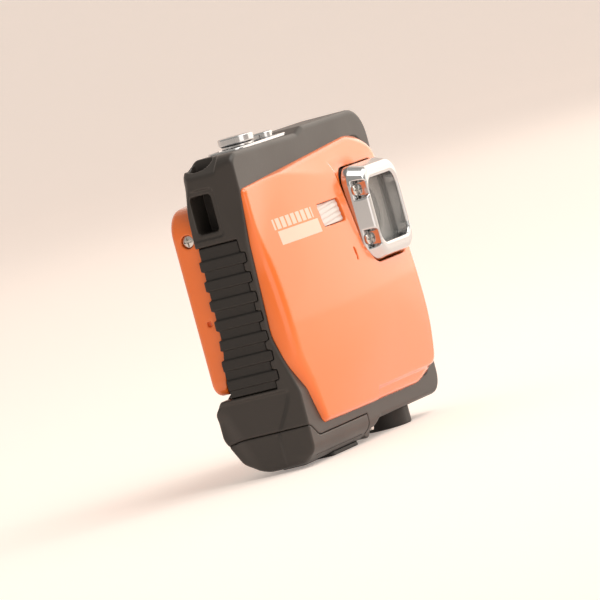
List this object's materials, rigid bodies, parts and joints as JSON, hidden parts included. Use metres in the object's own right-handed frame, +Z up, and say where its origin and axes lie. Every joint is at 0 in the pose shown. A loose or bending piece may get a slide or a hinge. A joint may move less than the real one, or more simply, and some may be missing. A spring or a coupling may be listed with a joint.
{
  "type": "compact camera",
  "caption": "Rugged waterproof compact digital camera with a square lens bezel, ribbed grip, strap slot, rear display and keys, and a hinged battery door.",
  "frame": {"origin": "on the surface that the camera stands on, under the middle of its width and depth", "axes": "+X along the width towards the lens end, -Y the way the lens looks, +Z up"},
  "size_m": [0.0768, 0.0284, 0.073],
  "materials": {
    "black_case": "satin moulded texture",
    "orange_gloss": "gloss",
    "grip_rubber": "matt ribbed",
    "seal_rubber": "matt",
    "chrome_trim": "bright plated",
    "screw_steel": "bright",
    "spring_steel": "bright",
    "bush_brass": "turned",
    "clear_window": "clear",
    "lens_glass": "coated",
    "inner_plastic": "matt",
    "circuit_board": "solder mask",
    "contact_metal": "plated",
    "cell_wrap": "printed sleeve",
    "display_glass": "gloss",
    "key_plastic": "satin",
    "lamp_lens": "frosted",
    "flash_lens": "ribbed clear"
  },
  "bodies": {
    "camera": {"body_frame": "black_case", "front_cover": "orange_gloss", "rear_cover": "orange_gloss", "front_seal": "seal_rubber", "grip_pad": "grip_rubber", "hinge_pin": "screw_steel", "lens_bezel": "chrome_trim", "bezel_screws": "screw_steel", "lens_window": "clear_window", "window_gasket": "seal_rubber", "lens_mask": "inner_plastic", "lens_carrier": "inner_plastic", "lens_barrel": "inner_plastic", "front_lens": "lens_glass", "rear_lens": "lens_glass", "diaphragm": "inner_plastic", "image_sensor": "display_glass", "sensor_board": "circuit_board", "flash_window": "flash_lens", "flash_reflector": "chrome_trim", "flash_tube": "clear_window", "flash_capacitor": "cell_wrap", "battery_tray": "inner_plastic", "cell_left": "cell_wrap", "cell_right": "cell_wrap", "tray_contacts": "contact_metal", "foot_pad": "grip_rubber", "tripod_bush": "bush_brass", "top_plate": "chrome_trim", "shutter_spring": "spring_steel", "power_spring": "spring_steel", "switch_board": "circuit_board", "key_board": "circuit_board", "status_led": "lamp_lens", "main_board": "circuit_board", "lcd_panel": "display_glass", "lcd_window": "display_glass", "card_socket": "contact_metal", "memory_card": "inner_plastic", "usb_socket": "contact_metal", "speaker": "inner_plastic", "microphone": "inner_plastic", "case_screws": "screw_steel", "side_screws": "screw_steel"},
    "door": {"battery_door": "black_case", "door_seal": "seal_rubber", "door_contact": "contact_metal", "door_foot": "grip_rubber"},
    "latch": {"door_latch": "key_plastic"},
    "shutter": {"shutter_button": "chrome_trim"},
    "power": {"power_button": "chrome_trim"},
    "zoom": {"zoom_rocker": "key_plastic"},
    "play_key": {"key_play": "key_plastic"},
    "menu_key": {"key_menu": "key_plastic"},
    "up_key": {"key_up": "key_plastic"},
    "down_key": {"key_down": "key_plastic"},
    "left_key": {"key_left": "key_plastic"},
    "right_key": {"key_right": "key_plastic"},
    "ok_key": {"key_ok": "key_plastic"},
    "delete_key": {"key_delete": "key_plastic"}
  },
  "joints": [
    {"name": "battery_door_hinge", "type": "hinge", "parent": "camera", "child": "door", "pos_m": [-0.003, 0.001, 0.0029], "axis": [0, -1, 0], "range_deg": [0, 90]},
    {"name": "door_latch_slide", "type": "slide", "parent": "door", "child": "latch", "axis": [1, 0, 0], "range_m": [0, 0.003]},
    {"name": "shutter_press", "type": "slide", "parent": "camera", "child": "shutter", "axis": [0, 0, -1], "range_m": [0, 0.001], "stiffness_N_per_m": 400, "springref_m": -0.0005, "deforming": ["shutter_spring"]},
    {"name": "power_press", "type": "slide", "parent": "camera", "child": "power", "axis": [0, 0, -1], "range_m": [0, 0.0006], "stiffness_N_per_m": 400, "springref_m": -0.0005, "deforming": ["power_spring"]},
    {"name": "zoom_rock", "type": "hinge", "parent": "camera", "child": "zoom", "pos_m": [-0.0234, 0.0109, 0.0534], "axis": [0, 0, 1], "range_deg": [-4, 4], "stiffness_Nm_per_rad": 0.05},
    {"name": "play_press", "type": "slide", "parent": "camera", "child": "play_key", "axis": [0, -1, 0], "range_m": [0, 0.0004], "stiffness_N_per_m": 500, "springref_m": -0.0004},
    {"name": "menu_press", "type": "slide", "parent": "camera", "child": "menu_key", "axis": [0, -1, 0], "range_m": [0, 0.0004], "stiffness_N_per_m": 500, "springref_m": -0.0004},
    {"name": "up_press", "type": "slide", "parent": "camera", "child": "up_key", "axis": [0, -1, 0], "range_m": [0, 0.0004], "stiffness_N_per_m": 500, "springref_m": -0.0004},
    {"name": "down_press", "type": "slide", "parent": "camera", "child": "down_key", "axis": [0, -1, 0], "range_m": [0, 0.0004], "stiffness_N_per_m": 500, "springref_m": -0.0004},
    {"name": "left_press", "type": "slide", "parent": "camera", "child": "left_key", "axis": [0, -1, 0], "range_m": [0, 0.0004], "stiffness_N_per_m": 500, "springref_m": -0.0004},
    {"name": "right_press", "type": "slide", "parent": "camera", "child": "right_key", "axis": [0, -1, 0], "range_m": [0, 0.0004], "stiffness_N_per_m": 500, "springref_m": -0.0004},
    {"name": "ok_press", "type": "slide", "parent": "camera", "child": "ok_key", "axis": [0, -1, 0], "range_m": [0, 0.0004], "stiffness_N_per_m": 500, "springref_m": -0.0004},
    {"name": "delete_press", "type": "slide", "parent": "camera", "child": "delete_key", "axis": [0, -1, 0], "range_m": [0, 0.0004], "stiffness_N_per_m": 500, "springref_m": -0.0004}
  ]
}
